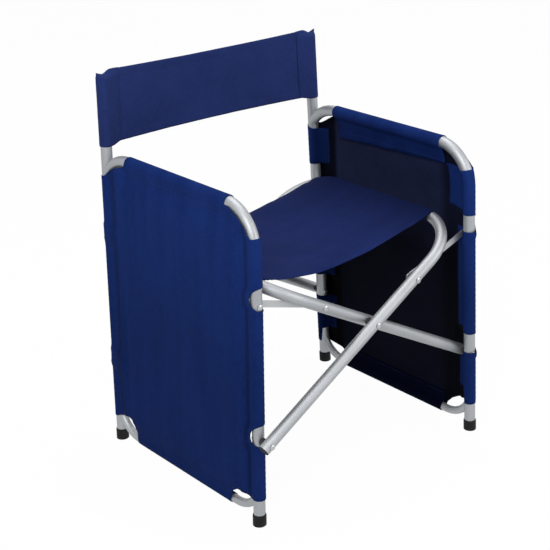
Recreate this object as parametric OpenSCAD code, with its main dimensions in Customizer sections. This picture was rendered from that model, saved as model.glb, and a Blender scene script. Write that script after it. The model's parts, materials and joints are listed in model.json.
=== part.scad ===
// Folding camp chair: two identical side frames, joined by a scissor of two
// U-shaped seat frames, with four flat links that set how far it opens.
// X is the width, Y runs from front to back and Z is up. The origin is on the
// floor, midway between the four feet.

/* [Side frames] */
// Distance between the left and right legs at the floor
leg_spacing = 530; // [460:1:620]
// Distance between the front leg and the rear upright of a side frame
frame_depth = 436; // [370:1:500]
// Height of the armrest tube's axis, along the leg
arm_height = 597; // [540:1:660]
// Height of the rear upright's top end above the armrest tube's axis
back_rise = 149; // [147:1:240]
// Inward lean of each side frame
lean = 1.8; // [0:0.1:3]
// Outside diameter of the main tubes
tube_od = 22; // [19:0.5:25]
// Wall thickness of the main tubes
tube_wall = 1.2; // [1:0.1:2]
// Centreline radius of the armrest's front bend
arm_bend_r = 75; // [55:1:90]
// Centreline radius of the armrest's rear bend
arm_rear_bend_r = 90; // [70:1:110]
// Angle that the armrest's rear bend turns through before it meets the upright
arm_rear_angle = 52; // [45:1:80]

/* [Bottom rails] */
// Outside diameter of the bottom rail
rail_od = 16; // [12:0.5:19]
// Wall thickness of the bottom rail
rail_wall = 1.2; // [1:0.1:2]
// Height of the bottom rail's axis
rail_height = 22; // [18:1:40]
// Centreline radius of the bottom rail's bends
rail_bend_r = 64; // [40:1:70]
// Angle that each of the rail's bends turns through before it meets the leg
rail_angle = 75; // [60:1:80]
// Room left between two welded tubes
weld_gap = 0.1; // [0.05:0.05:0.3]

/* [Seat frames] */
// Angle of the open seat frames above the floor
open_angle = 29.7; // [26:0.1:34]
// Height of the lower pivots, along the leg
low_pivot = 172; // [150:1:200]
// Distance from a side frame's tubes in to the seat rail, axis to axis
rail_inset = 23.3; // [20:0.1:30]
// Centreline radius of the seat frame's bends
seat_bend_r = 95; // [60:1:120]
// Tube beyond the lower pivot, at the end that is clear of the side panel
free_end = 13; // [9:0.5:20]
// Tube beyond the lower pivot, at the end that is behind the side panel
panel_end = 7.5; // [7:0.5:9]

/* [Links] */
// Height of the link pivots, along the leg
link_pivot = 427; // [415:1:432]
// Distance from the cross pivot to the link's pivot on the seat frame
link_reach = 118; // [110:1:125]
// Width of the link strip
link_w = 12; // [10:0.5:14]
// Thickness of the link strip
link_t = 2; // [1.5:0.1:3]
// Width of the stiffening rib pressed into the link
rib_w = 4; // [3:0.5:6]
// Height of the stiffening rib pressed into the link
rib_h = 0.8; // [0.4:0.1:1.2]

/* [Pivots] */
// Radius of the rivets
rivet_r = 3; // [2.5:0.1:3.5]
// Radius of a rivet's head
head_r = 5.5; // [5:0.1:7]
// Height of a rivet's head
head_h = 2.2; // [1.5:0.1:3]
// Height of the flat head that closes a rivet between two tube planes
tail_h = 1.6; // [1:0.1:2]
// Radial clearance of the rivets in their holes
rivet_gap = 0.05; // [0.02:0.01:0.1]
// Radius of the nylon washers
washer_r = 7.5; // [6.5:0.1:9]
// Thickness of the washer beside a link
washer_t = 2; // [1.5:0.1:3]
// Free play beside each washer
play = 0.1; // [0.05:0.05:0.2]
// Room beside the link's loose end, where the linkage is left open
loose_gap = 0.3; // [0.2:0.05:0.4]

/* [Feet and plugs] */
// Thickness of a foot cap's wall
cap_wall = 1.55; // [1:0.05:3]
// Height of a foot cap
cap_h = 22; // [16:0.5:32]
// Thickness of a foot cap's sole
sole_t = 4; // [3:0.5:6]
// Radial clearance of a cap or plug on its tube
cap_gap = 0.05; // [0.02:0.01:0.1]
// Depth of an end plug in its tube
plug_depth = 3.5; // [2.5:0.5:4]
// Height of an end plug's rounded head
plug_head = 2; // [1:0.1:2.5]

/* [Fabric] */
// Thickness of the fabric
fabric_t = 1.2; // [0.8:0.1:2]
// Radial room between a tube and the sleeve round it
sleeve_gap = 0.3; // [0.1:0.1:0.6]
// Room between the side frame's tubes and the inner face of its panel
panel_room = 3; // [2:0.1:5]
// Bare leg below a pivot at the legs' lower pivots
low_gap_below = 14; // [12:1:24]
// Bare leg above a pivot at the legs' lower pivots
low_gap_above = 38; // [12:1:45]
// Bare leg below a pivot at the links' upper pivots
high_gap_below = 8.5; // [8:0.5:24]
// Bare leg above a pivot at the links' upper pivots
high_gap_above = 37; // [12:1:45]
// Height of the lower end of the leg sleeves
sleeve_bottom = 50; // [40:1:80]
// Drop from the armrest tube's axis to the upper end of the rear sleeves
sleeve_drop = 47; // [40:1:70]
// Height of the notches cut in the panel's two bottom corners
corner_cut = 38; // [20:1:60]
// Length of the seat sling from front to back
seat_depth = 320; // [240:1:330]
// How far the seat sling sags below its rails
seat_sag = 36; // [15:1:45]
// Height of the back sling, from its lower to its upper edge
back_h = 142; // [110:1:170]
// Height of the back sling above the top of the uprights
back_over = 7; // [4:1:12]

/* [Hidden] */

$fn = 64;
EPS = 0.01;
LEFT = -1;
RIGHT = 1;
FRONT = -1;
REAR = 1;
STEEL = [0.72, 0.73, 0.74];
ZINC = [0.62, 0.63, 0.65];
BLACK = [0.08, 0.08, 0.09];
GREY = [0.22, 0.22, 0.24];
NAVY = [0.05, 0.08, 0.30];

tube_r = tube_od / 2;
rail_r = rail_od / 2;
cap_r = tube_r + cap_gap + cap_wall;
upright_height = arm_height + back_rise;
// The two planes that the tubes at each end of the chair lie in are one
// tube, one link and two washers apart.
plane_gap = tube_od + link_t + 2 * washer_t;
between = plane_gap - tube_od;
half_depth = frame_depth / 2;

// Where the leg at height h along it is, as [x, z], on the right side
function leg_at(h) = [leg_spacing / 2 - h * sin(lean), h * cos(lean)];
// Y of a tube's axis at the front or rear, in the plane of the given side
function plane_y(end, side) = end * half_depth - side * plane_gap / 2;

// The pivots' heights up a leg, and the bare stretches of leg round them
leg_pivots = [low_pivot, link_pivot];
low_gap_start = low_pivot - low_gap_below;
low_gap_end = low_pivot + low_gap_above;
high_gap_start = link_pivot - high_gap_below;
high_gap_end = link_pivot + high_gap_above;
gaps = [[low_gap_start, low_gap_end], [high_gap_start, high_gap_end]];
sleeve_top = arm_height - sleeve_drop;
panel_offset = tube_r + panel_room;
// Where the armrest's and the bottom rail's bends begin
arm_front_start = -half_depth + arm_bend_r;
arm_rear_start = half_depth - arm_rear_bend_r * sin(arm_rear_angle);
rail_half = half_depth - rail_bend_r * sin(rail_angle);

pivot_at = leg_at(low_pivot);
half_span = pivot_at[0] / cos(open_angle);
cross_z = pivot_at[1] + pivot_at[0] * tan(open_angle);
link_top = leg_at(link_pivot);
link_low = [
    link_reach * cos(open_angle), cross_z + link_reach * sin(open_angle)
];
link_len = norm(link_top - link_low);
link_angle = atan2(link_low[1] - link_top[1], link_low[0] - link_top[0]);
// Distance from the cross pivot to the seat rail's axis
rail_reach = (leg_spacing / 2 * cos(lean) - cross_z * sin(lean) - rail_inset)
    / cos(open_angle - lean);
seat_rail = [
    rail_reach * cos(open_angle), cross_z + rail_reach * sin(open_angle)
];

// ---- Placing --------------------------------------------------------------

// Puts the right side frame's parts on either side of the chair. In the
// frame's own axes, X points outwards and Z runs up the leg.
module on_side(side) {
    translate([side * leg_spacing / 2, -side * plane_gap / 2, 0])
        mirror([side < 0 ? 1 : 0, 0, 0])
            rotate([0, -lean, 0])
                children();
}

// Puts a seat frame's parts at its place. In the frame's own axes, the
// origin is at the cross pivot and X runs up the frame to its seat rail.
module on_seat_frame(side) {
    translate([0, -side * plane_gap / 2, cross_z])
        mirror([side < 0 ? 1 : 0, 0, 0])
            rotate([0, -open_angle, 0])
                children();
}

// Puts a link's parts at its upper pivot, with X along the link
module on_link(side) {
    mirror([side < 0 ? 1 : 0, 0, 0])
        translate([link_top[0], 0, link_top[1]])
            rotate([0, -link_angle, 0])
                children();
}

// ---- Tubes and rivets -----------------------------------------------------

// A round bar along Z from z0 to z1
module bar(r, z0, z1) {
    translate([0, 0, z0])
        cylinder(r = r, h = z1 - z0);
}

// A round bar along Y from y0 to y1
module bar_y(r, y0, y1) {
    translate([0, y1, 0])
        rotate([90, 0, 0])
            cylinder(r = r, h = y1 - y0);
}

// A bend of centreline radius bend_r, from along +X round towards +Y. It
// starts at the origin, in the XY plane.
module bend(r, bend_r, angle) {
    translate([0, bend_r, 0])
        rotate([0, 0, -90])
            rotate_extrude(angle = angle, $fn = 96)
                translate([bend_r, 0])
                    circle(r = r);
}

// A rivet along Y whose grip runs from y0 to y1, with a domed head in front
module rivet(y0, y1, back_head = head_h) {
    bar_y(rivet_r, y0, y1);
    translate([0, y0, 0])
        rotate([90, 0, 0])
            rivet_head(head_h);
    translate([0, y1, 0])
        rotate([-90, 0, 0])
            rivet_head(back_head);
}

module rivet_head(h) {
    cylinder(r = head_r, h = h / 2);
    translate([0, 0, h / 2])
        cylinder(r1 = head_r, r2 = head_r * 0.6, h = h / 2);
}

// A washer along Y, from y0 to y1
module washer(y0, y1) {
    difference() {
        bar_y(washer_r, y0, y1);
        bar_y(rivet_r + rivet_gap, y0 - 1, y1 + 1);
    }
}

// The round holes across a tube for a rivet at each of the given places
module cross_holes(places) {
    for (place = places)
        translate(place)
            bar_y(rivet_r + rivet_gap, -tube_od, tube_od);
}

// ---- Side frames ----------------------------------------------------------

module rear_upright_bar(r) {
    translate([0, half_depth, 0])
        bar(r, sole_t, upright_height);
}

// Front leg, front bend, armrest and rear bend, in one length
module arm_bar(r, cut) {
    translate([0, -half_depth, 0])
        bar(r, sole_t - cut, arm_height - arm_bend_r);
    translate([0, -half_depth, arm_height - arm_bend_r])
        rotate([0, -90, 0])
            bend(r, arm_bend_r, 90);
    translate([0, 0, arm_height])
        bar_y(r, arm_front_start, arm_rear_start);
    arm_rear_bend(r);
}

// The armrest's last bend, which ends on the upright's axis
module arm_rear_bend(r) {
    translate([0, arm_rear_start, arm_height])
        rotate([-90, 0, 90])
            bend(r, arm_rear_bend_r, arm_rear_angle);
}

module arm_tube() {
    difference() {
        arm_bar(tube_r, 0);
        arm_bar(tube_r - tube_wall, 1);
        rear_upright_bar(tube_r + weld_gap);
        cross_holes([for (h = leg_pivots) [0, -half_depth, h]]);
    }
}

module rear_upright() {
    difference() {
        rear_upright_bar(tube_r);
        translate([0, half_depth, 0])
            bar(tube_r - tube_wall, 0, upright_height + 1);
        cross_holes([for (h = leg_pivots) [0, half_depth, h]]);
    }
}

// The bottom rail, bent up at each end until it meets the leg's axis
module rail_bar(r) {
    for (turn = [0, 180])
        rotate([0, 0, turn]) {
            translate([0, 0, rail_height])
                bar_y(r, -EPS, rail_half);
            translate([0, rail_half, rail_height])
                rotate([90, 0, 90])
                    bend(r, rail_bend_r, rail_angle);
        }
}

module bottom_rail() {
    difference() {
        rail_bar(rail_r);
        rail_bar(rail_r - rail_wall);
        for (end = [FRONT, REAR])
            translate([0, end * half_depth, 0])
                bar(tube_r + weld_gap, 0, arm_height - arm_bend_r);
    }
}

// Both foot caps of one side, cut flat on the floor
module foot_caps(side) {
    difference() {
        on_side(side)
            for (end = [FRONT, REAR])
                translate([0, end * half_depth, 0])
                    difference() {
                        union() {
                            bar(cap_r, -sole_t, cap_h - 3);
                            translate([0, 0, cap_h - 3])
                                cylinder(r1 = cap_r, r2 = cap_r - 0.8, h = 3);
                        }
                        bar(tube_r + cap_gap, sole_t, cap_h + 1);
                    }
        translate([0, 0, -20])
            cube([2 * leg_spacing, 2 * frame_depth, 40], center = true);
    }
}

// A plug with a rounded head, for the end of a main tube that faces +Z
module tube_plug() {
    bar(tube_r - tube_wall - cap_gap, -plug_depth, 0);
    cylinder(r1 = tube_r, r2 = tube_r - 0.8, h = plug_head / 2);
    translate([0, 0, plug_head / 2])
        cylinder(r1 = tube_r - 0.8, r2 = tube_r - 4, h = plug_head / 2);
}

module upright_plug() {
    translate([0, half_depth, upright_height])
        tube_plug();
}

// Rivets through a side's leg and the tube in the other plane
module leg_rivets(side) {
    for (end = [FRONT, REAR])
        mirror([side < 0 ? 1 : 0, 0, 0])
            translate([pivot_at[0], 0, pivot_at[1]])
                rivet(
                    min(plane_y(end, LEFT), plane_y(end, RIGHT)) - tube_r,
                    max(plane_y(end, LEFT), plane_y(end, RIGHT)) + tube_r
                );
}

// The face of a side's tubes that its links lie against, at one end
function link_face(end, side) = plane_y(end, side) - end * tube_r;
// Y of a place that is d from that face, towards the middle of the chair
function link_y(end, side, d) = link_face(end, side) - end * d;

// Rivets through a side's leg and its link
module link_rivets(side) {
    for (end = [FRONT, REAR]) {
        outer = plane_y(end, side) + end * tube_r;
        inner = link_y(end, side, washer_t + link_t + play);
        mirror([side < 0 ? 1 : 0, 0, 0])
            translate([link_top[0], 0, link_top[1]])
                if (end == FRONT)
                    rivet(outer, inner, tail_h);
                else
                    mirror([0, 1, 0])
                        rivet(-outer, -inner, tail_h);
    }
}

// Washers between a side's legs and what turns on them
module side_washers(side) {
    mirror([side < 0 ? 1 : 0, 0, 0])
        for (end = [FRONT, REAR]) {
            low = min(plane_y(end, LEFT), plane_y(end, RIGHT)) + tube_r;
            translate([pivot_at[0], 0, pivot_at[1]])
                washer(low + play, low + between - play);
            face = link_y(end, side, play / 2);
            far = link_y(end, side, washer_t - play / 2);
            translate([link_top[0], 0, link_top[1]])
                washer(min(face, far), max(face, far));
        }
}

// ---- Side panels ----------------------------------------------------------

// Outline of the panel's flat part, in [y, z]
module panel_outline() {
    difference() {
        polygon([
            [-half_depth, sleeve_bottom],
            [-half_depth, sleeve_top],
            [arm_front_start, arm_height],
            [arm_rear_start, arm_height],
            [arm_rear_start + 6, (sleeve_top + arm_height) / 2],
            [half_depth, sleeve_top],
            [half_depth, sleeve_bottom],
            [rail_half + 16, rail_height + corner_cut],
            [rail_half, rail_height],
            [-rail_half, rail_height],
            [-rail_half - 16, rail_height + corner_cut]
        ]);
        // half-moon notches that bare the pivots
        for (end = [FRONT, REAR])
            for (gap = gaps)
                translate([end * (half_depth + (gap[1] - gap[0]) / 2 - 4), (gap[0] + gap[1]) / 2])
                    circle(d = gap[1] - gap[0]);
    }
}

module side_panel() {
    translate([panel_offset, 0, 0])
        rotate([90, 0, 90])
            linear_extrude(fabric_t)
                panel_outline();
}

// A sleeve round a bar of radius r along Z, joined to the panel at its -Y
module sleeve(r, z0, z1) {
    outer = r + sleeve_gap + fabric_t;
    difference() {
        union() {
            bar(outer, z0, z1);
            translate([0, -outer, z0])
                cube([panel_offset - EPS, outer, z1 - z0]);
        }
        bar(r + sleeve_gap, z0 - 1, z1 + 1);
    }
}

module panel_sleeves() {
    for (end = [FRONT, REAR])
        mirror([0, end < 0 ? 1 : 0, 0])
            translate([0, half_depth, 0]) {
                sleeve(tube_r, low_gap_end, high_gap_start);
                difference() {
                    sleeve(tube_r, sleeve_bottom, low_gap_start);
                    translate([0, -half_depth, 0])
                        rail_bar(rail_r + sleeve_gap);
                }
            }
    translate([0, -half_depth, 0])
        mirror([0, 1, 0])
            sleeve(tube_r, high_gap_end, arm_height - arm_bend_r);
    difference() {
        translate([0, half_depth, 0])
            sleeve(tube_r, high_gap_end, sleeve_top);
        arm_rear_bend(tube_r + sleeve_gap);
    }
    // armrest and bottom rail
    translate([0, 0, arm_height])
        rotate([90, 0, 0])
            sleeve(tube_r, -arm_rear_start, -arm_front_start);
    translate([0, 0, rail_height])
        rotate([-90, 0, 0])
            sleeve(rail_r, -rail_half, rail_half);
}

// ---- Seat frames ----------------------------------------------------------

// One half of the U: the diagonal tube at +Y, its bend and half the rail.
// end_len is the tube beyond the lower pivot.
module seat_frame_half(r, end_len, cut) {
    start = -half_span - end_len - cut;
    translate([start, half_depth, 0])
        rotate([0, 90, 0])
            cylinder(r = r, h = rail_reach - seat_bend_r - start);
    translate([rail_reach - seat_bend_r, half_depth, 0])
        mirror([0, 1, 0])
            bend(r, seat_bend_r, 90);
    translate([rail_reach, 0, 0])
        bar_y(r, -EPS, half_depth - seat_bend_r);
}

// Tube beyond the lower pivot. The end that is in the outer plane is free.
function end_len(end, side) = end == -side ? free_end : panel_end;

module seat_frame_bar(r, side, cut) {
    seat_frame_half(r, end_len(REAR, side), cut);
    mirror([0, 1, 0])
        seat_frame_half(r, end_len(FRONT, side), cut);
}

module seat_frame(side) {
    difference() {
        seat_frame_bar(tube_r, side, 0);
        seat_frame_bar(tube_r - tube_wall, side, 1);
        for (x = [-half_span, 0, link_reach])
            cross_holes([[x, -half_depth, 0], [x, half_depth, 0]]);
    }
}

module frame_plugs(side) {
    for (end = [FRONT, REAR])
        translate([-half_span - end_len(end, side), end * half_depth, 0])
            rotate([0, -90, 0])
                tube_plug();
}

// Rivets that carry the links' loose ends. Each stops flush with its tube.
module frame_rivets(side) {
    mirror([side < 0 ? 1 : 0, 0, 0])
        translate([link_low[0], 0, link_low[1]])
            for (end = [FRONT, REAR]) {
                outer = plane_y(end, side) + end * tube_r;
                face = link_face(end, side);
                bar_y(rivet_r, min(outer, face), max(outer, face));
                translate([0, outer, 0])
                    rotate([-end * 90, 0, 0])
                        rivet_head(head_h);
            }
}

module cross_rivets() {
    for (end = [FRONT, REAR])
        translate([0, 0, cross_z])
            rivet(plane_y(end, RIGHT) - tube_r, plane_y(end, LEFT) + tube_r);
}

module cross_washers() {
    for (end = [FRONT, REAR])
        translate([0, plane_y(end, RIGHT) + tube_r, cross_z])
            washer(play, between - play);
}

// ---- Links ----------------------------------------------------------------

// Outline of a strip with round ends, from x0 to x1
module strip(w, x0, x1) {
    translate([x0 + w / 2, -w / 2])
        square([x1 - x0 - w, w]);
    for (x = [x0 + w / 2, x1 - w / 2])
        translate([x, 0])
            circle(d = w);
}

// One link. The rib faces away from the tubes.
module link(end, side) {
    on_link(side)
        translate([0, link_y(end, side, washer_t + (end == FRONT ? 0 : link_t)), 0])
            rotate([-90, 0, 0])
                difference() {
                    union() {
                        linear_extrude(link_t)
                            strip(link_w, -link_w / 2, link_len + link_w / 2);
                        translate([0, 0, end == FRONT ? link_t : -rib_h])
                            linear_extrude(rib_h)
                                strip(rib_w, link_w, link_len - link_w);
                    }
                    for (x = [0, link_len])
                        translate([x, 0, -1])
                            cylinder(r = rivet_r + rivet_gap, h = link_t + 2);
                }
}

// Studs in the loose ends of a side's links, each with its own washer
module link_studs(side) {
    on_link(side)
        translate([link_len, 0, 0])
            for (end = [FRONT, REAR]) {
                face = link_y(end, side, loose_gap);
                under = link_y(end, side, washer_t - EPS);
                out = link_y(end, side, washer_t + link_t);
                bar_y(washer_r, min(face, under), max(face, under));
                bar_y(rivet_r, min(face, out), max(face, out));
                translate([0, out, 0])
                    rotate([end * 90, 0, 0])
                        rivet_head(tail_h);
            }
}

// ---- Slings ---------------------------------------------------------------

sling_half = seat_rail[0];
sleeve_r = tube_r + sleeve_gap;

// The seat sling: a sagging sheet and a sleeve round each seat rail, which
// runs on round part of the bends.
module seat_sling() {
    top = seat_rail[1] + sleeve_r + fabric_t;
    difference() {
        union() {
            translate([0, seat_depth / 2, top])
                rotate([90, 0, 0])
                    linear_extrude(seat_depth)
                        polygon(concat(
                            [for (i = [-12:12]) sag_at(i / 12, 0)],
                            [for (i = [12:-1:-12]) sag_at(i / 12, fabric_t)]
                        ));
            seat_rails(sleeve_r + fabric_t, 0);
        }
        seat_rails(sleeve_r, 4);
    }
}

// A place on the sagging sheet, u of the way from its middle to a rail and t
// below its upper face
function sag_at(u, t) = [u * sling_half, -seat_sag * (1 - u * u) - t];

// Both seat rails, with the part of their bends that the sling covers
module seat_rails(r, more) {
    for (side = [LEFT, RIGHT])
        on_seat_frame(side)
            translate([rail_reach, 0, 0]) {
                bar_y(r, -half_depth + seat_bend_r, half_depth - seat_bend_r);
                for (end = [FRONT, REAR])
                    rotate([end < 0 ? 180 : 0, 0, 0])
                        translate([0, half_depth - seat_bend_r, 0])
                            rotate([0, 0, 90])
                                bend(r, seat_bend_r, wrap_angle(end, side) + more);
            }
}

// Angle of a seat frame's bend that the sling covers
function wrap_angle(end, side) = asin(
    (seat_depth / 2 - half_depth + seat_bend_r + end * side * plane_gap / 2)
    / seat_bend_r
);

// The back sling: a flat sheet and a sleeve round each upright
module back_sling() {
    top = upright_height + back_over;
    low = top - back_h;
    low_x = leg_at(low)[0];
    top_x = leg_at(top)[0];
    skew = atan2(plane_gap, low_x + top_x);
    difference() {
        union() {
            for (side = [LEFT, RIGHT])
                on_side(side)
                    translate([0, half_depth, 0])
                        bar(sleeve_r + fabric_t, low, top);
            translate([0, half_depth, 0])
                rotate([90, 0, -skew])
                    linear_extrude(2 * fabric_t, center = true)
                        back_outline(low, top);
        }
        for (side = [LEFT, RIGHT])
            on_side(side)
                translate([0, half_depth, 0]) {
                    bar(sleeve_r, low - 10, upright_height + plug_head + 1);
                    bar(sleeve_r - 4, low, top + 10);
                }
    }
}

// Outline of the sheet between the uprights, in [x, z]
module back_outline(low, top) {
    low_x = leg_at(low)[0];
    top_x = leg_at(top)[0];
    polygon([
        [-low_x, leg_at(low)[1]],
        [low_x, leg_at(low)[1]],
        [top_x, leg_at(top)[1]],
        [-top_x, leg_at(top)[1]]
    ]);
}

// ---- Nodes ----------------------------------------------------------------

module left_arm_tube() { color(STEEL) on_side(LEFT) arm_tube(); }
module left_rear_upright() { color(STEEL) on_side(LEFT) rear_upright(); }
module left_bottom_rail() { color(STEEL) on_side(LEFT) bottom_rail(); }
module left_foot_caps() { color(BLACK) foot_caps(LEFT); }
module left_upright_plug() { color(BLACK) on_side(LEFT) upright_plug(); }
module left_leg_rivets() { color(ZINC) leg_rivets(LEFT); }
module left_link_rivets() { color(ZINC) link_rivets(LEFT); }
module left_washers() { color(GREY) side_washers(LEFT); }
module left_side_panel() { color(NAVY) on_side(LEFT) side_panel(); }
module left_panel_sleeves() { color(NAVY) on_side(LEFT) panel_sleeves(); }

module right_arm_tube() { color(STEEL) on_side(RIGHT) arm_tube(); }
module right_rear_upright() { color(STEEL) on_side(RIGHT) rear_upright(); }
module right_bottom_rail() { color(STEEL) on_side(RIGHT) bottom_rail(); }
module right_foot_caps() { color(BLACK) foot_caps(RIGHT); }
module right_upright_plug() { color(BLACK) on_side(RIGHT) upright_plug(); }
module right_leg_rivets() { color(ZINC) leg_rivets(RIGHT); }
module right_link_rivets() { color(ZINC) link_rivets(RIGHT); }
module right_washers() { color(GREY) side_washers(RIGHT); }
module right_side_panel() { color(NAVY) on_side(RIGHT) side_panel(); }
module right_panel_sleeves() { color(NAVY) on_side(RIGHT) panel_sleeves(); }

module right_seat_frame() { color(STEEL) on_seat_frame(RIGHT) seat_frame(RIGHT); }
module right_frame_plugs() { color(GREY) on_seat_frame(RIGHT) frame_plugs(RIGHT); }
module right_frame_rivets() { color(ZINC) frame_rivets(RIGHT); }
module left_seat_frame() { color(STEEL) on_seat_frame(LEFT) seat_frame(LEFT); }
module left_frame_plugs() { color(GREY) on_seat_frame(LEFT) frame_plugs(LEFT); }
module left_frame_rivets() { color(ZINC) frame_rivets(LEFT); }

module front_right_link() { color(ZINC) link(FRONT, RIGHT); }
module rear_right_link() { color(ZINC) link(REAR, RIGHT); }
module right_link_studs() { color(ZINC) link_studs(RIGHT); }
module front_left_link() { color(ZINC) link(FRONT, LEFT); }
module rear_left_link() { color(ZINC) link(REAR, LEFT); }
module left_link_studs() { color(ZINC) link_studs(LEFT); }

left_arm_tube();
left_rear_upright();
left_bottom_rail();
left_foot_caps();
left_upright_plug();
left_leg_rivets();
left_link_rivets();
left_washers();
left_side_panel();
left_panel_sleeves();
right_arm_tube();
right_rear_upright();
right_bottom_rail();
right_foot_caps();
right_upright_plug();
right_leg_rivets();
right_link_rivets();
right_washers();
right_side_panel();
right_panel_sleeves();
right_seat_frame();
right_frame_plugs();
right_frame_rivets();
color(ZINC) cross_rivets();
color(GREY) cross_washers();
left_seat_frame();
left_frame_plugs();
left_frame_rivets();
front_right_link();
rear_right_link();
right_link_studs();
front_left_link();
rear_left_link();
left_link_studs();
color(NAVY) seat_sling();
color(NAVY) back_sling();
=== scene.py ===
"""Folding camp chair: cloth, materials, light and camera round the CAD frame.

Lengths are in millimetres until mm() turns them into Blender's metres. A side
frame's own axes are x outwards, y to the rear and z up its legs.
"""
import json
import math
import bpy
from mathutils import Matrix, Vector, geometry, kdtree, noise


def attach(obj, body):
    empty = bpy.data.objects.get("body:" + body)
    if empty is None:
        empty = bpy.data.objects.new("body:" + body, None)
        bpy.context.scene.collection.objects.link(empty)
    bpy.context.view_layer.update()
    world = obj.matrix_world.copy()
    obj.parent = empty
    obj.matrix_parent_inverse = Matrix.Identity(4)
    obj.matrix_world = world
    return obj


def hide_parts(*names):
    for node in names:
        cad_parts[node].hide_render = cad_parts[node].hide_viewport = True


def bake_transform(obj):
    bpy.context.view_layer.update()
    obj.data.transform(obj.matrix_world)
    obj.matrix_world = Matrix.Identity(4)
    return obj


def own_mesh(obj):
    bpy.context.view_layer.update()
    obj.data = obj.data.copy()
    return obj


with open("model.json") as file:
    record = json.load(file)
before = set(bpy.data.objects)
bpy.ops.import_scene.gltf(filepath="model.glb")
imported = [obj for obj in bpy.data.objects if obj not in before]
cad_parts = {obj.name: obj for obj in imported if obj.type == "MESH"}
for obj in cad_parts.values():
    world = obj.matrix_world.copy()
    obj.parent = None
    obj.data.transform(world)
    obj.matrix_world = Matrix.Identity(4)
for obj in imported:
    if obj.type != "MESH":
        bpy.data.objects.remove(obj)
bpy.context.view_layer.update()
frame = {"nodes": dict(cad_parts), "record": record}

SIDES = {"left": -1, "right": 1}
CLOTH = 1.1            # thickness of the cloth
LEG_SPACING = 530      # between the legs at the floor
LEAN = math.radians(1.8)             # a side frame's, inwards at its top
PLANE = 14             # a side frame's offset along Y from the middle
HALF_DEPTH = 218       # from a side frame's middle to its legs' axes
TUBE_WRAP = 11.9       # radius of the cloth's middle round a 22 mm tube
RAIL_WRAP = 8.9        # the same round the 16 mm bottom rail
ARM = 597              # height of the armrest's axis
ARM_BEND = 75          # radius of the armrest's front bend
RAIL = 22              # height of the bottom rail's axis
PLATE = 14.6           # middle of the panel's cloth, out from the frame's plane
SEAT_ANGLE = math.radians(29.7)      # a seat frame's slope when it is open
SEAT_REACH = 261.97    # from the cross pivot to a seat rail's axis
SEAT_BEND = 95         # radius of a seat frame's bends
CROSS_Z = 319.99       # height of the cross pivot


def mm(*v):
    return Vector(v) * 0.001


def smooth(t):
    t = min(max(t, 0.0), 1.0)
    return t * t * (3 - 2 * t)


def mix(a, b, t):
    return a + (b - a) * t


def bell(x, middle, width):
    """1 at the middle, and near 0 two widths away from it."""
    return math.exp(-((x - middle) / width) ** 2)


def wave(u, v, seed):
    """Smooth noise from -1 to 1."""
    return noise.noise(Vector((u, v, seed)))


def side_point(side, x, y, z):
    """A place in a side frame's own axes, in the chair's."""
    c, s = math.cos(LEAN), math.sin(LEAN)
    return mm(side * (LEG_SPACING / 2 + x * c - z * s), y - side * PLANE,
              x * s + z * c)


# ---- Materials --------------------------------------------------------------

def new_material(name, color, rough, metallic=0.0):
    mat = bpy.data.materials.new(name)
    mat.use_nodes = True
    shader = mat.node_tree.nodes["Principled BSDF"]
    shader.inputs["Base Color"].default_value = (*color, 1)
    shader.inputs["Roughness"].default_value = rough
    shader.inputs["Metallic"].default_value = metallic
    return mat, mat.node_tree, shader


def node(tree, kind, inputs=None, **settings):
    n = tree.nodes.new("ShaderNode" + kind)
    for key, value in settings.items():
        setattr(n, key, value)
    for key, value in (inputs or {}).items():
        if isinstance(value, bpy.types.NodeSocket):
            tree.links.new(value, n.inputs[key])
        else:
            n.inputs[key].default_value = value
    return n


def math_node(tree, operation, a, b):
    return node(tree, "Math", {0: a, 1: b}, operation=operation).outputs[0]


def ramp(tree, fac, stops):
    n = node(tree, "ValToRGB", {"Fac": fac})
    elements = n.color_ramp.elements
    while len(elements) < len(stops):
        elements.new(0.5)
    for element, (place, color) in zip(elements, stops):
        element.position = place
        element.color = (*color, 1)
    return n.outputs["Color"]


def grey(v):
    return (v, v, v)


def noise_at(tree, vector, scale, detail=3.0, rough=0.5):
    n = node(tree, "TexNoise", {"Vector": vector, "Scale": scale,
                                "Detail": detail, "Roughness": rough})
    return n.outputs["Fac"]


def stretched(tree, vector, scale):
    return node(tree, "Mapping", {"Vector": vector, "Scale": scale}).outputs[0]


def bump(tree, shader, height, strength, distance):
    n = node(tree, "Bump", {"Height": height, "Strength": strength,
                            "Distance": distance})
    tree.links.new(n.outputs[0], shader.inputs["Normal"])


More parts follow.
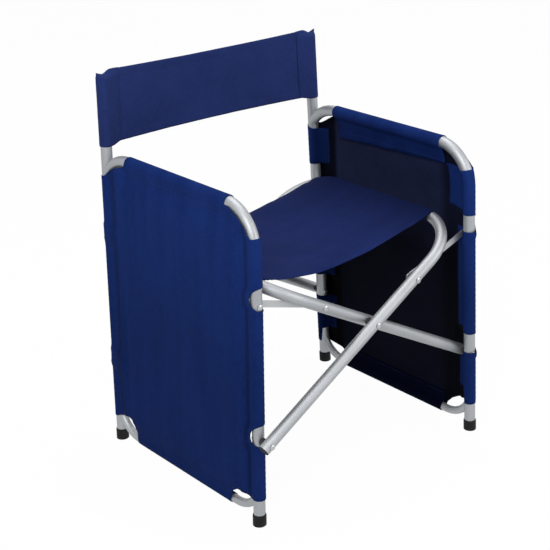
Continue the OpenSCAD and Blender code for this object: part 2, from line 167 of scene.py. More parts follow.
def cloth_material(name, color, rough, sheen, yarn=0.75, painted_shading=(),
                   streaks=(9, 9)):
    """Woven polyester, of threads yarn mm apart. The UV map is the cloth's flat
    pattern in metres. Each fade is painted light and shade: (axis, start, end,
    shade before the start, shade past the end) along that map. Streaks are soft
    bands, so many a metre along each axis; on the panels and the seat they are
    painted light and shade of folds and wrinkles."""
    mat, tree, shader = new_material(name, color, rough)
    shader.inputs["Sheen Weight"].default_value = sheen
    shader.inputs["Sheen Roughness"].default_value = 0.5
    shader.inputs["Specular IOR Level"].default_value = 0.02
    uv = node(tree, "UVMap").outputs["UV"]
    turns = 1000 / yarn
    parts = node(tree, "SeparateXYZ", {0: uv})
    warp = math_node(tree, "SINE", math_node(
        tree, "MULTIPLY", parts.outputs["X"], turns * math.pi), 0.0)
    weft = math_node(tree, "SINE", math_node(
        tree, "MULTIPLY", parts.outputs["Y"], turns * math.pi), 0.0)
    weave = math_node(tree, "MULTIPLY", warp, weft)
    # slubs run along both threads, and handling leaves broad soft patches
    slub_x = noise_at(tree, stretched(tree, uv, (60, 900, 1)), 1.0)
    slub_y = noise_at(tree, stretched(tree, uv, (900, 60, 1)), 1.0)
    slubs = math_node(tree, "ADD", slub_x, slub_y)
    patches = noise_at(tree, uv, 7.0, 4.0, 0.6)
    shade = math_node(tree, "ADD", math_node(tree, "MULTIPLY", slubs, 0.55),
                      math_node(tree, "MULTIPLY", patches, 0.45))
    shade = math_node(tree, "ADD", shade,
                      math_node(tree, "MULTIPLY", weave, 0.05))
    # soft bands of tone; on the panels and the seat they are painted light and shade
    # of folds and wrinkles
    bands = noise_at(tree, stretched(tree, uv, (*streaks, 1)), 1.0, 2.0)
    bands = math_node(tree, "SUBTRACT", bands, 0.5)
    shade = math_node(tree, "ADD", shade,
                      math_node(tree, "MULTIPLY", bands, 0.42))
    dark = tuple(c * 0.72 for c in color)
    light = tuple(min(c * 1.30 + 0.002, 1) for c in color)
    base = ramp(tree, shade, [(0.45, dark), (0.95, light)])
    # each fade scales the colour along the pattern: painted light and shade
    for axis, low, high, start, end in painted_shading:
        level = node(tree, "MapRange", {
            "Value": parts.outputs[axis], "From Min": low, "From Max": high,
            "To Min": start, "To Max": end}, interpolation_type="SMOOTHSTEP")
        base = node(tree, "VectorMath", {0: base, "Scale": level.outputs[0]},
                    operation="SCALE").outputs["Vector"]
    tree.links.new(base, shader.inputs["Base Color"])
    rough_map = ramp(tree, patches, [(0.3, grey(rough - 0.07)),
                                     (0.7, grey(rough + 0.06))])
    tree.links.new(rough_map, shader.inputs["Roughness"])
    height = math_node(tree, "ADD", math_node(tree, "MULTIPLY", weave, 0.5),
                       math_node(tree, "MULTIPLY", slubs, 0.8))
    bump(tree, shader, height, 0.5, 0.00025)
    return mat


def metal_material(name, color, rough, scratch):
    """Satin powder coat or zinc, with rubbed streaks and small scuffs."""
    mat, tree, shader = new_material(name, color, rough, 0.85)
    shader.inputs["Specular IOR Level"].default_value = 0.5
    place = node(tree, "TexCoord").outputs["Object"]
    grain = noise_at(tree, place, 900, 2.0, 0.6)
    cloud = noise_at(tree, place, 9, 4.0, 0.6)
    scuffs = noise_at(tree, stretched(tree, place, (60, 60, 420)), 1.0, 5.0, 0.7)
    scuff_mask = ramp(tree, scuffs, [(0.60, grey(0.0)), (0.74, grey(1.0))])
    base = ramp(tree, cloud, [(0.3, tuple(c * 0.90 for c in color)),
                              (0.7, tuple(min(c * 1.05, 1) for c in color))])
    worn = node(tree, "Mix", {"Factor": math_node(
        tree, "MULTIPLY", scuff_mask, scratch), "A": base,
        "B": (*[c * 0.72 for c in color], 1)}, data_type="RGBA")
    tree.links.new(worn.outputs["Result"], shader.inputs["Base Color"])
    rough_mix = math_node(tree, "ADD", math_node(
        tree, "MULTIPLY", cloud, 0.16), rough - 0.08)
    rough_mix = math_node(tree, "ADD", rough_mix, math_node(
        tree, "MULTIPLY", scuff_mask, 0.10))
    tree.links.new(rough_mix, shader.inputs["Roughness"])
    bump(tree, shader, grain, 0.25, 0.00006)
    return mat


def moulded_material(name, color, rough, grain_scale, dust):
    """Moulded rubber or plastic: fine grain, a little dust and rubbing."""
    mat, tree, shader = new_material(name, color, rough)
    shader.inputs["Specular IOR Level"].default_value = 0.15
    place = node(tree, "TexCoord").outputs["Object"]
    grain = noise_at(tree, place, grain_scale, 3.0, 0.6)
    cloud = noise_at(tree, place, 45, 4.0, 0.7)
    pale = tuple(mix(c, 0.22, dust) for c in color)
    tree.links.new(ramp(tree, cloud, [(0.42, color), (0.80, pale)]),
                   shader.inputs["Base Color"])
    tree.links.new(ramp(tree, cloud, [(0.3, grey(rough - 0.1)),
                                      (0.8, grey(min(rough + 0.15, 1)))]),
                   shader.inputs["Roughness"])
    bump(tree, shader, grain, 0.4, 0.0002)
    return mat


panel_cloth = cloth_material(
    "panel_weave", (0.0048, 0.0168, 0.0930), 0.74, 0.0,
    painted_shading=[("Y", -0.004, 0.008, 0.10, 1.0),      # painted shade under the bottom rail
           ("Y", 0.260, 0.540, 0.84, 1.16),      # painted light, paler towards the armrest
           ("Y", 0.615, 0.655, 1.0, 0.82),       # painted shade over the armrest
           ("Y", 0.660, 0.691, 1.0, 0.82),       # and down its flap
           ("X", -0.210, -0.206, 1.0, 0.68),     # painted shade in the valley at the front seam
           ("X", -0.202, -0.194, 1.0, 1.47),
           ("X", 0.172, 0.184, 1.0, 0.72),       # painted shade of a fold at the rear seam
           ("X", 0.190, 0.206, 1.0, 1.39),
           ("X", 0.250, 0.264, 1.0, 0.50)],      # painted shade on the rear sleeve's inner side
    # its streaks are painted light and shade of the upright folds beside the legs
    streaks=(34, 2.6))
# painted shade: the seat is darker beside the right rail, and its streaks are
# painted light and shade of its wrinkles
sling_cloth = cloth_material("seat_weave", (0.0078, 0.0158, 0.0800), 0.72, 0.01,
                             painted_shading=[("X", 0.08, 0.26, 0.62, 1.0)],
                             streaks=(6, 26))
# painted light: the backrest's cloth is a paler copy of the seat's, for the light
# its sheen catches
back_weave = cloth_material("back_weave", (0.0130, 0.0240, 0.1020), 0.72, 0.02)
# painted shade: the coating is darker low down, in the seat's shadow, and towards
# the front and rear strips, so it is paler inside the armrest, between the two
# strips
coating = cloth_material("coated_back", (0.0100, 0.0134, 0.0400), 0.62, 0.0,
                         painted_shading=[("Y", 0.340, 0.470, 0.20, 1.0),
                                ("X", -0.152, -0.122, 0.35, 1.0),
                                ("X", 0.160, 0.172, 1.0, 0.15)])
coated_sling = cloth_material("coated_sling", (0.0010, 0.0016, 0.0100), 0.62, 0.0)
thread = cloth_material("sewing_thread", (0.012, 0.023, 0.105), 0.55, 0.1, yarn=0.3)
coat = metal_material("satin_coat", (0.385, 0.398, 0.415), 0.52, 0.30)
zinc = metal_material("zinc_plate", (0.46, 0.475, 0.49), 0.36, 0.4)
rubber = moulded_material("cap_rubber", (0.009, 0.009, 0.010), 0.66, 700, 0.05)
plastic = moulded_material("plug_plastic", (0.014, 0.014, 0.016), 0.50, 900, 0.04)
nylon = moulded_material("washer_nylon", (0.035, 0.035, 0.037), 0.40, 900, 0.05)

FINISHES = {"frame_metal": coat, "rivet_zinc": zinc, "cap_rubber": rubber,
            "plug_plastic": plastic, "washer_nylon": nylon,
            "panel_fabric": panel_cloth, "sling_fabric": sling_cloth}
for part in frame["record"]["subparts"]:
    solid = frame["nodes"][part["node"]]
    for material_slot in solid.material_slots:
        material_slot.material = FINISHES[part["material_slot"]]


# ---- Cloth helpers ----------------------------------------------------------

def add_mesh(name, verts, faces, uvs, materials, body=None, thickness=CLOTH):
    """A cloth piece. Its materials are those outside, inside and on its edge,
    or one for all of it."""
    mesh = bpy.data.meshes.new(name)
    mesh.from_pydata(verts, [], faces)
    layer = mesh.uv_layers.new(name="pattern")
    for loop in mesh.loops:
        layer.data[loop.index].uv = uvs[loop.vertex_index]
    mesh.polygons.foreach_set("use_smooth", [True] * len(mesh.polygons))
    for mat in materials:
        mesh.materials.append(mat)
    piece = bpy.data.objects.new(name, mesh)
    bpy.context.scene.collection.objects.link(piece)
    if thickness:
        solid = piece.modifiers.new("thickness", "SOLIDIFY")
        solid.thickness = thickness * 0.001
        solid.offset = 0
        if len(materials) > 1:
            solid.material_offset, solid.material_offset_rim = 1, 2
    if body:
        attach(piece, body)
    return piece


def grid_piece(name, columns, rows, place, uv, materials, body=None,
               thickness=CLOTH, flip=False):
    """A cloth piece whose points place(i, j) form a grid."""
    verts = [place(i, j) for j in range(rows) for i in range(columns)]
    uvs = [uv(i, j) for j in range(rows) for i in range(columns)]
    faces = []
    for j in range(rows - 1):
        for i in range(columns - 1):
            a = j * columns + i
            quad = (a, a + 1, a + columns + 1, a + columns)
            faces.append(quad[::-1] if flip else quad)
    return add_mesh(name, verts, faces, uvs, materials, body, thickness)


def resample(points, step, closed=True):
    """Evenly spaced points along a line, with its corners kept."""
    out = []
    ends = points[1:] + (points[:1] if closed else [])
    for a, b in zip(points, ends):
        a, b = Vector(a), Vector(b)
        n = max(1, round((b - a).length / step))
        out += [a.lerp(b, k / n) for k in range(n)]
    if not closed:
        out.append(Vector(points[-1]))
    return out


def normal_at(place, u, v, out):
    """The way the cloth faces at a place of its pattern, times out."""
    near = 0.4
    du = place(u + near, v) - place(u - near, v)
    dv = place(u, v + near) - place(u, v - near)
    n = du.cross(dv)
    return n.normalized() * out if n.length else Vector((0, 0, 1))


STITCH = 3             # length of a stitch
STITCH_PITCH = 5       # from one stitch to the next
STITCH_RADIUS = 0.28
STITCH_SIDES = 5       # of its round section
# A stitch's rings: share of its length, share of its radius, mm of lift
STITCH_RINGS = ((0, 0.3, -0.35), (0.2, 1, 0), (0.8, 1, 0), (1, 0.3, -0.35))


def stitch_mesh(name, rows, body=None):
    """Sewing. Each row is (place, points, out): stitches laid along a line of
    the pattern, on the side of the cloth that out says."""
    rise = CLOTH / 2 + 0.12
    verts, faces, uvs = [], [], []
    for place, points, out in rows:
        line = resample(points, 1.0, closed=False)
        for start in range(0, len(line) - STITCH, STITCH_PITCH):
            ends = [line[start], line[start + STITCH]]
            at = [place(*p) for p in ends]
            up = normal_at(place, *ends[0], out) * 0.001
            along = at[1] - at[0]
            if along.length < 1e-4:
                continue
            across = along.cross(up).normalized() * STITCH_RADIUS * 0.001
            first = len(verts)
            for t, size, lift in STITCH_RINGS:
                mid = at[0] + along * t + up * (rise + lift)
                for turn in range(STITCH_SIDES):
                    a = math.tau * turn / STITCH_SIDES
                    verts.append(mid + across * math.cos(a) * size
                                 + up * math.sin(a) * STITCH_RADIUS * size)
                    uvs.append((t * 0.003, turn * 0.0003))
            for ring in range(len(STITCH_RINGS) - 1):
                for turn in range(STITCH_SIDES):
                    a = first + ring * STITCH_SIDES + turn
                    b = first + ring * STITCH_SIDES + (turn + 1) % STITCH_SIDES
                    faces.append((a, b, b + STITCH_SIDES, a + STITCH_SIDES))
            last = len(verts) - STITCH_SIDES
            faces.append(tuple(first + k for k in reversed(range(STITCH_SIDES))))
            faces.append(tuple(last + k for k in range(STITCH_SIDES)))
    return add_mesh(name, verts, faces, uvs, [thread], body, 0)


def polygon_area(points):
    pairs = zip(points, points[1:] + points[:1])
    return abs(sum(a[0] * b[1] - b[0] * a[1] for a, b in pairs)) / 2


# ---- Side panels ------------------------------------------------------------

class Loop:
    """The path of a panel's edge round a tube. The cloth leaves the tube's
    outer side, goes round the tube to the seam, and ends as a strip that lies
    on the inner face of the panel, or hangs free at inner. Distances along it
    start at the tube's outer side."""

    def __init__(self, radius, seam, dip, strip, inner=None):
        self.radius, self.seam, self.dip = radius, seam, dip
        if inner is None:
            inner = dip - CLOTH - 0.2
        self.inner = inner
        reach = math.hypot(seam, inner)
        self.extra = math.atan2(inner, seam) + math.asin(radius / reach)
        self.arc = radius * (math.pi + self.extra)
        self.straight = math.sqrt(reach ** 2 - radius ** 2)
        self.length = self.arc + self.straight + strip

    def at(self, d):
        """(distance past the tube's axis, distance out), or (distance, None)
        where the cloth lies on the panel."""
        r, turn = self.radius, self.extra
        if d < self.arc:
            return r * math.sin(d / r), r * math.cos(d / r)
        t = d - self.arc
        if t < self.straight:
            return (-r * math.sin(turn) - t * math.cos(turn),
                    -r * math.cos(turn) + t * math.sin(turn))
        return -self.seam - (t - self.straight), None


LEG_LOOP = Loop(TUBE_WRAP, seam=14, dip=7.8, strip=22)
ARM_LOOP = Loop(TUBE_WRAP, seam=17, dip=8.8, strip=34, inner=1.5)
RAIL_LOOP = Loop(RAIL_WRAP, seam=13, dip=7.6, strip=18)

# Heights between which each panel's leg sleeves run, with notches between them
SLEEVES = {
    "left": {"front": [(52, 161), (203, 421), (462, 550)],
             "rear": [(52, 157), (211, 422), (470, 557)]},
    "right": {"front": [(60, 177), (217, 434), (467, 557)],
              "rear": [(52, 164), (214, 422), (470, 557)]},
}
PIVOTS = (172, 427)            # heights of the pivots on each leg
ARM_SLEEVE = (-153, 144)       # from its front end to its rear end
RAIL_SLEEVE = (-146, 148)
FRONT_STRIPS = (0, 4, 26)      # extra width of the front leg's three strips
STRIP_LOW, STRIP_HIGH = 88, 549    # heights of the legs' strips' ends
SEAM_LOW, SEAM_HIGH = 92, 541      # and of their stitching's
PATTERN_STEP = 6.5                 # between the points of the cloth


def presence(spans, v, fade=12):
    """How far a sleeve holds the cloth at v: 1 in a span, 0 in a gap."""
    return max(smooth(1 + (v - a) / fade) * smooth(1 + (b - v) / fade)
               for a, b in spans)


def bend_in(v):
    """How far the front leg's tube has bent to the rear at v."""
    rise = min(max(v - (ARM - ARM_BEND), 0), ARM_BEND)
    return ARM_BEND - math.sqrt(ARM_BEND ** 2 - rise ** 2)


def sleeve_pull(u, v, legs):
    """(distance, loop, presence) of the four tubes from a place of the panel."""
    return [(u + HALF_DEPTH - bend_in(v), LEG_LOOP, presence(legs["front"], v)),
            (HALF_DEPTH - u, LEG_LOOP, presence(legs["rear"], v)),
            (ARM - v, ARM_LOOP, presence([ARM_SLEEVE], u, 22)),
            (v - RAIL, RAIL_LOOP, presence([RAIL_SLEEVE], u, 22))]


def panel_out(u, v, legs, seed):
    """Distance of the panel's cloth from the frame's plane."""
    pulls = sleeve_pull(u, v, legs)
    near = min(max(s, 0) for s, _, _ in pulls)
    free = smooth((near - 8) / 60)
    out = PLATE + free * (2.6 * wave(u / 150, v / 210, seed)
                          + 1.3 * wave(u / 55, v / 95, seed + 5)
                          + 0.35 * wave((u + v) / 24, (u - v) / 90, seed + 9))
    # upright folds beside the legs, and slanting ones under the armrest
    rear = max(HALF_DEPTH - u, 0)
    fore = max(HALF_DEPTH + u, 0)
    folds = 6.5 * bell(rear, 36, 24) + 6.0 * bell(fore, 32, 19)
    out += smooth((near - 10) / 25) * folds * wave(u / 13, v / 260, seed + 13)
    slack = math.exp(-max(ARM - 25 - v, 0) / 60)
    out += free * slack * 3.4 * wave((u * 0.8 + v * 0.6) / 17, (v - u) / 130,
                                     seed + 17)
    for s, loop, held in pulls:
        if s < 0:
            level = loop.radius
        elif s < loop.seam:
            level = mix(loop.radius, loop.dip, s / loop.seam)
        else:
            level = mix(loop.dip, PLATE, smooth((s - loop.seam) / 40))
        out = min(out, out + (level - PLATE) * held)
    # it stands clear of the seat frame's end, beside a lower pivot
    away = math.hypot(abs(u) - (HALF_DEPTH - 2 * PLANE), v - PIVOTS[0])
    return max(out, mix(out, PLATE + 0.4, smooth((28 - away) / 12)))


def panel_place(side, legs, seed):
    """Where a place (u, v) of a panel's flat pattern goes on a side frame."""
    # each tube's loop, its sleeves, its axis and the way outwards across it
    lines = {
        "front": (LEG_LOOP, legs["front"], -HALF_DEPTH, -1),
        "rear": (LEG_LOOP, legs["rear"], HALF_DEPTH, 1),
        "arm": (ARM_LOOP, [ARM_SLEEVE], ARM, 1),
        "rail": (RAIL_LOOP, [RAIL_SLEEVE], RAIL, -1),
    }

    def place(u, v):
        past = {"front": -HALF_DEPTH - u, "rear": u - HALF_DEPTH,
                "arm": v - ARM, "rail": RAIL - v}
        tube = max(past, key=past.get)
        d = past[tube]
        if d <= 0:
            return side_point(side, panel_out(u, v, legs, seed), u, v)
        loop, spans, axis, sign = lines[tube]
        upright = tube in ("front", "rear")
        q, out = loop.at(d)
        if upright and out is not None:
            # the cloth stands out over the rivets' heads
            for pivot in PIVOTS:
                away = math.hypot(d - loop.radius * math.pi / 2, v - pivot)
                rise = 1 + 2.4 / loop.radius * smooth((13 - away) / 6)
                q, out = q * rise, out * rise
        if tube == "front":
            q -= bend_in(v) * smooth(d / 12)
        across = axis + sign * q
        y, z = (across, v) if upright else (u, across)
        if out is not None:
            held = presence(spans, v if upright else u)
            out += (PLATE - loop.radius) * (1 - held) * smooth(1 - d / 18)
            return side_point(side, out, y, z)
        out = panel_out(y, z, legs, seed) - CLOTH - 0.25
        if tube == "arm":
            # the armrest's flap hangs free, with slack folds
            hang = smooth((-q - loop.seam) / 24)
            folds = wave((u + 1.5 * z) / 34, 2, seed + 3)
            out = mix(loop.inner, 8, hang) + hang * 2.2 * folds
        return side_point(side, out, y, z)

    return place


NOTCH_BACK = 20        # how far round the tube a notch's curve starts
NOTCH_STEPS = 12
# How deep the notches go in past the tube's outer side
REAR_NOTCH = -8
LOW_FRONT_NOTCH, HIGH_FRONT_NOTCH = 4.5, 0.5


def notch(edge, low, high, deep):
    """The curved edge of a notch that bares a pivot, from high to low."""
    sign = 1 if edge > 0 else -1
    middle, half = (low + high) / 2, (high - low) / 2
    points = []
    for k in range(NOTCH_STEPS + 1):
        a = math.pi * (0.5 - k / NOTCH_STEPS)
        in_by = (NOTCH_BACK + deep) * math.cos(a)
        points.append((edge + sign * (NOTCH_BACK - in_by),
                       middle + half * math.sin(a)))
    return points


def panel_outline(legs, corners):
    """The flat pattern's outline, counter-clockwise, as (u, v)."""
    front, rear = -HALF_DEPTH, HALF_DEPTH
    rail_end = RAIL - RAIL_LOOP.length
    arm_end = ARM + ARM_LOOP.length
    far = LEG_LOOP.length          # to a strip's far edge
    turned = LEG_LOOP.arc - 8      # to where the strips' ends slant
    # under the bottom rail, to the rear
    line = [(-144, rail_end), (146, rail_end), (148, RAIL - 12)]
    line += corners["low rear"]
    # up the rear leg
    (_, a), (b, c), (d, e) = legs["rear"]
    line += [(rear, 53), (rear + 41, 53), (rear + turned, STRIP_LOW - 4),
             (rear + far, STRIP_LOW), (rear + far, a - 2)]
    line += notch(rear, a, b, REAR_NOTCH)[::-1]
    line += [(rear + far, b + 2), (rear + far, c - 2)]
    line += notch(rear, c + 2, d, REAR_NOTCH)[::-1]
    line += [(rear + far, d + 2), (rear + far, STRIP_HIGH),
             (rear + turned, STRIP_HIGH), (rear + 24, e - 1), (rear, e + 1)]
    line += corners["high rear"]
    # over the armrest, to the front
    line += [(144, ARM + 2), (146, arm_end + 7), (-149, arm_end - 5),
             (-152.5, ARM + 6)]
    line += corners["high front"]
    # down the front leg
    (low, a), (b, c), (d, e) = legs["front"]
    _, middle, top = FRONT_STRIPS
    line += [(front, e), (front - 26, e), (front - turned, e - 3),
             (front - far - top, e - 6), (front - far - top, d + 2)]
    line += notch(front, c, d, HIGH_FRONT_NOTCH)
    line += [(front - far - middle, c - 2), (front - far - middle, b + 2)]
    line += notch(front, a, b, LOW_FRONT_NOTCH)
    line += [(front - far, a - 2), (front - far, STRIP_LOW),
             (front - turned, STRIP_LOW - 4), (front - 41, low + 1),
             (front, low + 1)]
    return line + corners["low front"] + [(-146, RAIL)]


# Each pattern's four cut corners between the tubes
CORNERS = {
    "left": {
        "low rear": [(150, RAIL + 4), (151, 42), (154, 56), (161, 65), (172, 69),
                     (185, 67), (200, 60)],
        "high rear": [(207, 563), (200, 568), (192, 574), (176, 582), (162, 587),
                      (152, 590), (146.5, 593)],
        "high front": [(-151.5, ARM - 3), (-164, 594.5), (-187, 584), (-207, 568)],
        "low front": [(-206, 53), (-190, 57), (-173, 58), (-158, 48), (-149, 34)],
    },
    "right": {
        "low rear": [(150, RAIL + 4), (157, 32), (169, 39), (183, 44), (200, 49)],
        "high rear": [(207, 559), (199, 562), (190, 568), (176, 576), (162, 582.5),
                      (152, 587), (146.5, 592)],
        "high front": [(-155, ARM - 1), (-164, 594), (-185, 583), (-205, 567)],
        "low front": [(-206, 59), (-190, 56), (-174, 51), (-160, 43), (-150, 32)],
    },
}


def pattern_mesh(outline, step):
    """Points and triangles that fill an outline, on an even grid of triangles
    that stays clear of the edge's own points."""
    edge = resample(outline, step)
    tree = kdtree.KDTree(len(edge))
    for k, p in enumerate(edge):
        tree.insert((*p, 0), k)
    tree.balance()
    low = [min(p[k] for p in edge) for k in (0, 1)]
    high = [max(p[k] for p in edge) for k in (0, 1)]
    inside = []
    row, v = 0, low[1] + step / 2
    while v < high[1]:
        u = low[0] + step / 2 * (1 + row % 2)
        while u < high[0]:
            if tree.find((u, v, 0))[2] > step * 0.6:
                inside.append(Vector((u, v)))
            u += step
        v += step * 0.87
        row += 1
    result = geometry.delaunay_2d_cdt(
        edge + inside, [], [list(range(len(edge)))], 1, 1e-5)
    verts, faces = result[0], result[2]
    used = sorted({i for face in faces for i in face})
    new = {old: k for k, old in enumerate(used)}
    return [verts[i] for i in used], [[new[i] for i in f] for f in faces]


def inset(points, distance):
    """A line moved to its left."""
    out = []
    for k, p in enumerate(points):
        a = Vector(points[max(k - 1, 0)])
        b = Vector(points[min(k + 1, len(points) - 1)])
        along = (b - a).normalized()
        out.append(Vector(p) + Vector((-along.y, along.x)) * distance)
    return out


for name, side in SIDES.items():
    legs = SLEEVES[name]
    outline = panel_outline(legs, CORNERS[name])
    pattern, triangles = pattern_mesh(outline, PATTERN_STEP)
    place = panel_place(side, legs, 10 * side + 3)
    faces = [f if side > 0 else f[::-1] for f in triangles]
    panel = add_mesh(name + "_panel_cloth", [place(*p) for p in pattern], faces,
                     [tuple(p * 0.001) for p in pattern],
                     [panel_cloth, coating, panel_cloth], name + "_side")
    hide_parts(name + "_side_panel", name + "_panel_sleeves")
    seams = []
    for tube, sign, strips in (("front", -1, FRONT_STRIPS), ("rear", 1, (0, 0, 0))):
        for (low, high), strip in zip(legs[tube], strips):
            for u in (HALF_DEPTH - LEG_LOOP.seam,
                      HALF_DEPTH + LEG_LOOP.length + strip - 4):
                seams.append((place, [(sign * u, max(low + 4, SEAM_LOW)),
                                      (sign * u, min(high - 9, SEAM_HIGH))], side))
    for v, (start, end) in ((ARM - ARM_LOOP.seam, ARM_SLEEVE),
                            (RAIL + RAIL_LOOP.seam, RAIL_SLEEVE),
                            (ARM + ARM_LOOP.length - 9, ARM_SLEEVE),
                            (RAIL - RAIL_LOOP.length + 4, RAIL_SLEEVE)):
        seams.append((place, [(start + 5, v), (end - 5, v)], side))
    for hem in CORNERS[name].values():
        seams.append((place, inset(hem, 5), side))
    sewing = stitch_mesh(name + "_panel_stitching", seams, name + "_side")
    polygon_area(outline) * 1e-6


# ---- Seat sling -------------------------------------------------------------

SLING_WRAP = 12.1      # radius of the slings' cloth round a tube
SEAT_HALF = 160        # half the sling's length from front to back
SEAT_LENGTH = 2 * SEAT_HALF
SAG = 36
SEAT_ROWS = 55         # points from front to back
ARC_STEPS = 24         # round a rail
SPAN_STEPS = 60        # from rail to rail
HEM_STEPS = 6          # along the strip under the sling


def seat_rail(side, y):
    """(axis point, way along the tube) of a seat rail where it crosses y."""
    local = y + side * PLANE
    past = abs(local) - (HALF_DEPTH - SEAT_BEND)
    reach, slope = SEAT_REACH, 0.0
    if past > 0:
        turn = math.asin(min(past / SEAT_BEND, 0.95))
        reach -= SEAT_BEND * (1 - math.cos(turn))
        slope = -math.tan(turn) * (1 if local > 0 else -1)
    up = Vector((side * math.cos(SEAT_ANGLE), 0, math.sin(SEAT_ANGLE)))
    along = (up * slope + Vector((0, 1, 0))).normalized()
    return up * reach + Vector((0, y, CROSS_Z)), along


def seat_section(y):
    """Points of the sling's section at y, from the right hem to the left one."""
    axes, arcs = {}, {}
    for side in (1, -1):
        axis, along = seat_rail(side, y)
        outward = Vector((side, 0, 0))
        outward = (outward - along * outward.dot(along)).normalized()
        up = outward.cross(along)
        if up.z < 0:
            up = -up
        axes[side], arcs[side] = axis, []
        # from the rail's top, round its outside, to the seam under the sling
        for k in range(ARC_STEPS + 1):
            a = math.radians(96) - math.radians(258) * k / ARC_STEPS
            arcs[side].append(axis + SLING_WRAP * (outward * math.cos(a)
                                                   + up * math.sin(a)))
    span = []
    edge = smooth((abs(y) - 120) / 40)
    for k in range(1, SPAN_STEPS):
        t = k / SPAN_STEPS
        u = 2 * t - 1
        p = arcs[1][0].lerp(arcs[-1][0], t)
        # the left half hangs a little lower than the right one
        sag = SAG * (1 - u * u) * (1 + 0.3 * u) * (1 - 0.05 * edge)
        # soft pulls that start at the ends of the sleeves
        ripple = 2.2 * wave(p.x / 70, y / 130, 21) + 1.0 * wave(
            (p.x + 0.4 * y) / 24, (p.x - y) / 150, 25)
        pull = 1.2 * bell(1 - abs(u), 0, 0.16) * edge * math.sin(abs(u) * 40)
        span.append(p - Vector((0, 0, sag - ripple * smooth((1 - abs(u)) * 6)
                                - pull)))

    def hem(side):
        """The strip from the seam along the underside of the sling."""
        strip = []
        for k in range(1, HEM_STEPS + 1):
            x = axes[side].x - side * (14 + 4.5 * k)
            under = min(span, key=lambda q: abs(q.x - x)).z - CLOTH - 0.4
            strip.append(Vector((x, y, mix(arcs[side][-1].z, under,
                                           smooth(k / 2)))))
        return strip

    return hem(1)[::-1] + arcs[1][::-1] + span + arcs[-1] + hem(-1)


sections = [seat_section(-SEAT_HALF + SEAT_LENGTH * j / (SEAT_ROWS - 1))
            for j in range(SEAT_ROWS)]
columns = len(sections[0])
middle = sections[SEAT_ROWS // 2]
run = [0.0]            # distance of each column from the right hem
for a, b in zip(middle, middle[1:]):
    run.append(run[-1] + (b - a).length)


def seat_at(u, v):
    """The seat's surface at a place (u, v) of its pattern."""
    j = (v + SEAT_HALF) / SEAT_LENGTH * (SEAT_ROWS - 1)
    j = min(max(j, 0), SEAT_ROWS - 1.001)
    i = 0
    while i < columns - 2 and run[i + 1] < u:
        i += 1
    t = (u - run[i]) / (run[i + 1] - run[i])
    row, s = int(j), j - int(j)
    a = sections[row][i].lerp(sections[row][i + 1], t)
    b = sections[row + 1][i].lerp(sections[row + 1][i + 1], t)
    return mm(*a.lerp(b, s))


seat = grid_piece(
    "seat_cloth", columns, SEAT_ROWS, lambda i, j: mm(*sections[j][i]),
    lambda i, j: (run[i] * 0.001, (SEAT_LENGTH * j / (SEAT_ROWS - 1)) * 0.001),
    [sling_cloth, coated_sling, sling_cloth], flip=True)
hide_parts("seat_sling")
# the two ends of the span, just inside the rails
right_end = run[HEM_STEPS + ARC_STEPS + 1]
left_end = run[HEM_STEPS + ARC_STEPS + SPAN_STEPS - 1]
seat_rows = [(seat_at, [(u, -154), (u, 154)], 1)
             for inward in (20, 42)
             for u in (right_end + inward, left_end - inward)]
seat_rows += [(seat_at, [(right_end + 4, v), (left_end - 4, v)], 1)
              for v in (-151, 151)]
seat_sewing = stitch_mesh("seat_stitching", seat_rows)
rails = {s: seat_rail(s, 0)[0] for s in (1, -1)}
for piece in (seat, seat_sewing):
    mm(*rails[1]) - mm(4, 0, 0)
    mm(*rails[-1]) + mm(4, 0, 0)
    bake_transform(piece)


# ---- Back sling -------------------------------------------------------------

BACK_LOW, BACK_TOP = 615, 757          # heights of the sling's edges
BACK_HEIGHT = BACK_TOP - BACK_LOW
BACK_WIDTH = 440       # of the pattern between the two sleeves
BACK_SEAM = 35         # from the upright's axis in to the sleeve's seam
BACK_EAR = 14          # from the axis out to the sleeve's flat upper corner
UPRIGHT_TOP = 746      # the sleeves close flat above it
SLEEVE_COLUMNS, SLEEVE_ROWS = 65, 40
BACK_COLUMNS, BACK_ROWS = 90, 40


def upright_place(side, q, f, z):
    """q from the upright's axis towards the other one, f to the front."""
    return side_point(side, -q, HALF_DEPTH - f, z)


def back_sleeve(side):
    """The sleeve round an upright, sewn flat across its top: the place of a
    point (s, h) of its pattern, and its length along s from seam to seam."""
    turn = math.acos(SLING_WRAP / BACK_SEAM)
    straight = math.sqrt(BACK_SEAM ** 2 - SLING_WRAP ** 2)
    arc = 2 * (math.pi - turn)
    half = straight + SLING_WRAP * arc / 2

    def section(s):
        """Place at s from the seam in front, over the tube, to it behind."""
        if s > half:
            q, f = section(2 * half - s)
            return q, -f
        if s < straight:
            t = s / straight
            return (mix(BACK_SEAM, SLING_WRAP * math.cos(turn), t),
                    mix(0.7, SLING_WRAP * math.sin(turn), t))
        a = turn + (s - straight) / SLING_WRAP
        return SLING_WRAP * math.cos(a), SLING_WRAP * math.sin(a)

    def place(s, h):
        """h runs from 0 at the lower edge to 1 at the upper one."""
        q, f = section(min(max(s, 0), 2 * half))
        flat_s = s if s < half else 2 * half - s
        flat_q = BACK_SEAM - flat_s * (BACK_SEAM + BACK_EAR) / half
        inner = smooth((q + 4) / (BACK_SEAM + 4))
        # the lower edge hangs lower round the tube than at the seam
        low = BACK_LOW + 5 * inner ** 2
        # the upper one dips over the tube, beside its outer corner
        high = BACK_TOP + 2 - 8.0 * bell(flat_q, 0, 10) - 2.0 * smooth(
            (-flat_q - 2) / 9)
        z = mix(low, high, h)
        close = smooth((z - UPRIGHT_TOP) / (high - UPRIGHT_TOP))
        q = mix(q, flat_q, close)
        f = mix(f, math.copysign(0.7, f), close)
        crease = 0.4 * wave(z / 22, s / 12, 31 + side) + 1.5 * inner * wave(
            z / 90, s / 5, 37 + side)
        f += math.copysign(crease, f) * (1 - close)
        return upright_place(side, q, f, z)

    return place, 2 * half


